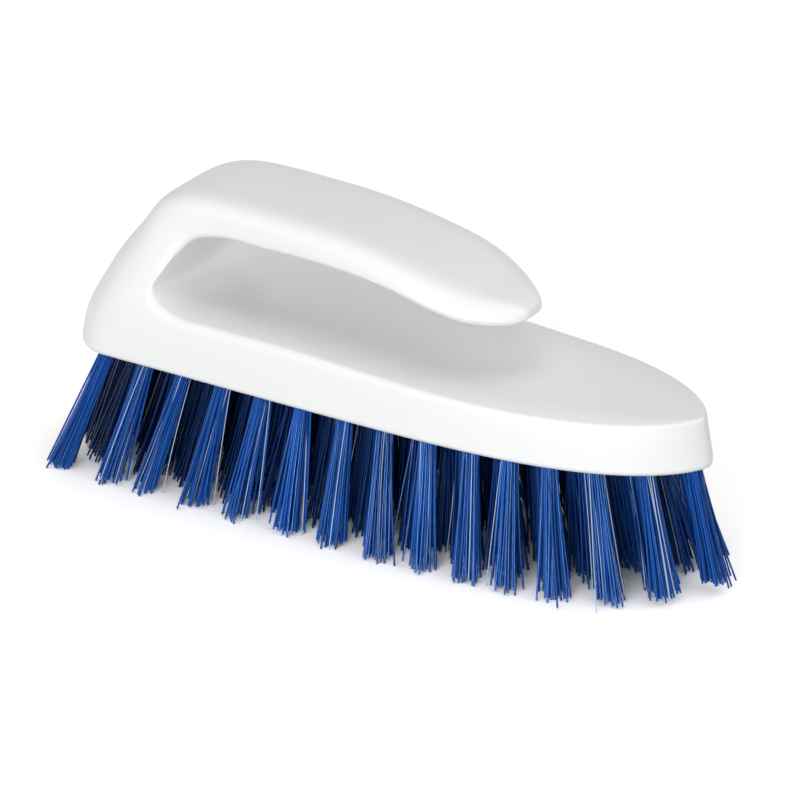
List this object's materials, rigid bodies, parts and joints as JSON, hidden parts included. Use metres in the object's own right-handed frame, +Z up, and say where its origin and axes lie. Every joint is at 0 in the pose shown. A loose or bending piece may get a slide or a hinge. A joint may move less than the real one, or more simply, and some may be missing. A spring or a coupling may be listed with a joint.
{
  "type": "wash brush",
  "caption": "Iron-shaped scrubbing brush with a white moulded block, an open forward hand grip and blue bristle tufts.",
  "frame": {"origin": "middle of the bounding box's base, on the floor that the bristle tips stand on", "axes": "+X along the block from the riser to the nose, +Y to the left hand side, +Z up from the bristle tips to the grip"},
  "size_m": [0.1846, 0.0666, 0.0777],
  "materials": {
    "body_white": "smooth glossy white polypropylene moulding",
    "bristle_blue": "satin blue polyester filament"
  },
  "bodies": {
    "root": {"brush_body": "body_white", "tuft_inner_01_1": "bristle_blue", "tuft_inner_01_2": "bristle_blue", "tuft_inner_01_3": "bristle_blue", "tuft_inner_02_1": "bristle_blue", "tuft_inner_02_2": "bristle_blue", "tuft_inner_03_1": "bristle_blue", "tuft_inner_03_2": "bristle_blue", "tuft_inner_03_3": "bristle_blue", "tuft_inner_04_1": "bristle_blue", "tuft_inner_04_2": "bristle_blue", "tuft_inner_05_1": "bristle_blue", "tuft_inner_05_2": "bristle_blue", "tuft_inner_05_3": "bristle_blue", "tuft_inner_06_1": "bristle_blue", "tuft_inner_06_2": "bristle_blue", "tuft_inner_07_1": "bristle_blue", "tuft_inner_07_2": "bristle_blue", "tuft_inner_07_3": "bristle_blue", "tuft_inner_08_1": "bristle_blue", "tuft_inner_08_2": "bristle_blue", "tuft_inner_09_1": "bristle_blue", "tuft_inner_09_2": "bristle_blue", "tuft_inner_09_3": "bristle_blue", "tuft_inner_10_1": "bristle_blue", "tuft_inner_10_2": "bristle_blue", "tuft_inner_11_1": "bristle_blue", "tuft_inner_11_2": "bristle_blue", "tuft_inner_12_1": "bristle_blue", "tuft_inner_12_2": "bristle_blue", "tuft_inner_13_1": "bristle_blue", "tuft_left_01": "bristle_blue", "tuft_left_02": "bristle_blue", "tuft_left_03": "bristle_blue", "tuft_left_04": "bristle_blue", "tuft_left_05": "bristle_blue", "tuft_left_06": "bristle_blue", "tuft_left_07": "bristle_blue", "tuft_left_08": "bristle_blue", "tuft_left_09": "bristle_blue", "tuft_left_10": "bristle_blue", "tuft_left_11": "bristle_blue", "tuft_left_12": "bristle_blue", "tuft_left_13": "bristle_blue", "tuft_left_14": "bristle_blue", "tuft_nose": "bristle_blue", "tuft_right_01": "bristle_blue", "tuft_right_02": "bristle_blue", "tuft_right_03": "bristle_blue", "tuft_right_04": "bristle_blue", "tuft_right_05": "bristle_blue", "tuft_right_06": "bristle_blue", "tuft_right_07": "bristle_blue", "tuft_right_08": "bristle_blue", "tuft_right_09": "bristle_blue", "tuft_right_10": "bristle_blue", "tuft_right_11": "bristle_blue", "tuft_right_12": "bristle_blue", "tuft_right_13": "bristle_blue", "tuft_right_14": "bristle_blue"}
  },
  "joints": []
}
